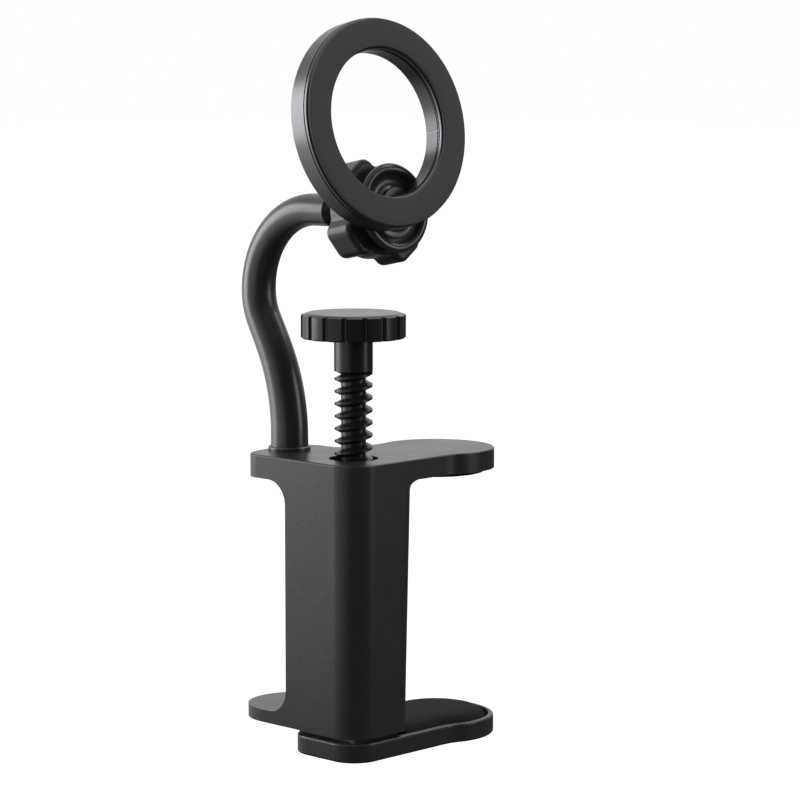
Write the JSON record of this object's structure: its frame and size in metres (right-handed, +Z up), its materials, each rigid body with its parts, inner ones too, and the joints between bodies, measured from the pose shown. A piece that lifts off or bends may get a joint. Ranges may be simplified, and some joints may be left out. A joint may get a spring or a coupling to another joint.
{
  "type": "guitar phone holder",
  "caption": "Screw clamp for a guitar body with a sliding padded jaw, a bent arm, a ball joint with a lobed lock nut and a magnetic ring head that holds a phone",
  "frame": {"origin": "middle of the upper pad's gripping face, where the instrument's top rests", "axes": "+Z up along the clamp screw, +X from the column to the jaws' round ends, -Y to the front, where the ring head faces"},
  "size_m": [0.0863, 0.0694, 0.2058],
  "materials": {
    "moulding": "satin moulded black plastic with a fine grain",
    "arm": "semi-gloss black moulded plastic",
    "screw_plastic": "satin moulded black plastic",
    "nut_plastic": "semi-gloss black moulded plastic",
    "socket_plastic": "polished black plastic",
    "ring_metal": "dark anodised, satin",
    "ring_face": "matte black silicone",
    "grip_rubber": "matte black rubber",
    "steel": "plain zinc-plated steel",
    "bush_brass": "machined brass",
    "liner": "natural acetal plastic",
    "magnet": "nickel-plated"
  },
  "bodies": {
    "base": {"clamp_body": "moulding", "thread_bush": "bush_brass", "upper_pad": "grip_rubber", "bent_arm": "arm", "arm_screw": "steel", "arm_washer": "steel", "ball_stud": "steel"},
    "jaw": {"lower_jaw": "moulding", "lower_pad": "grip_rubber"},
    "screw": {"clamp_screw": "screw_plastic", "swivel_washer": "steel", "swivel_screw": "steel"},
    "liner": {"friction_pad": "liner"},
    "seat": {"seat_ring": "liner"},
    "head": {"socket_cup": "socket_plastic", "head_screws": "steel", "ring_housing": "ring_metal", "ring_yoke": "steel", "ring_magnets": "magnet", "ring_cover": "ring_metal", "ring_pad": "ring_face"},
    "nut": {"lock_nut": "nut_plastic"}
  },
  "joints": [
    {"name": "jaw_slide", "type": "slide", "parent": "base", "child": "jaw", "axis": [0, 0, 1], "range_m": [-0.0293, 0]},
    {"name": "screw_turn", "type": "hinge", "parent": "jaw", "child": "screw", "pos_m": [-0.034, -0.0006, 0], "axis": [0, 0, 1], "range_deg": [-3014.7, 0]},
    {"name": "ball_pan", "type": "hinge", "parent": "base", "child": "liner", "pos_m": [-0.034, -0.0084, 0.0762], "axis": [0, 0, 1], "range_deg": [-22.5, 27.5]},
    {"name": "ball_tilt", "type": "hinge", "parent": "liner", "child": "seat", "pos_m": [-0.034, -0.0084, 0.0762], "axis": [0.999, -0.0436, 0], "range_deg": [-14.1, 35.9]},
    {"name": "ball_roll", "type": "hinge", "parent": "seat", "child": "head", "pos_m": [-0.034, -0.0084, 0.0762], "axis": [-0.0428, -0.981, 0.1891], "range_deg": [-90, 60]},
    {"name": "nut_turn", "type": "hinge", "parent": "head", "child": "nut", "pos_m": [-0.034, -0.0084, 0.0762], "axis": [-0.0428, -0.981, 0.1891], "range_deg": [0, 180]}
  ],
  "couplings": [
    {"joint": "screw_turn", "follows": "jaw_slide", "rad_per_m": 1795.2}
  ]
}
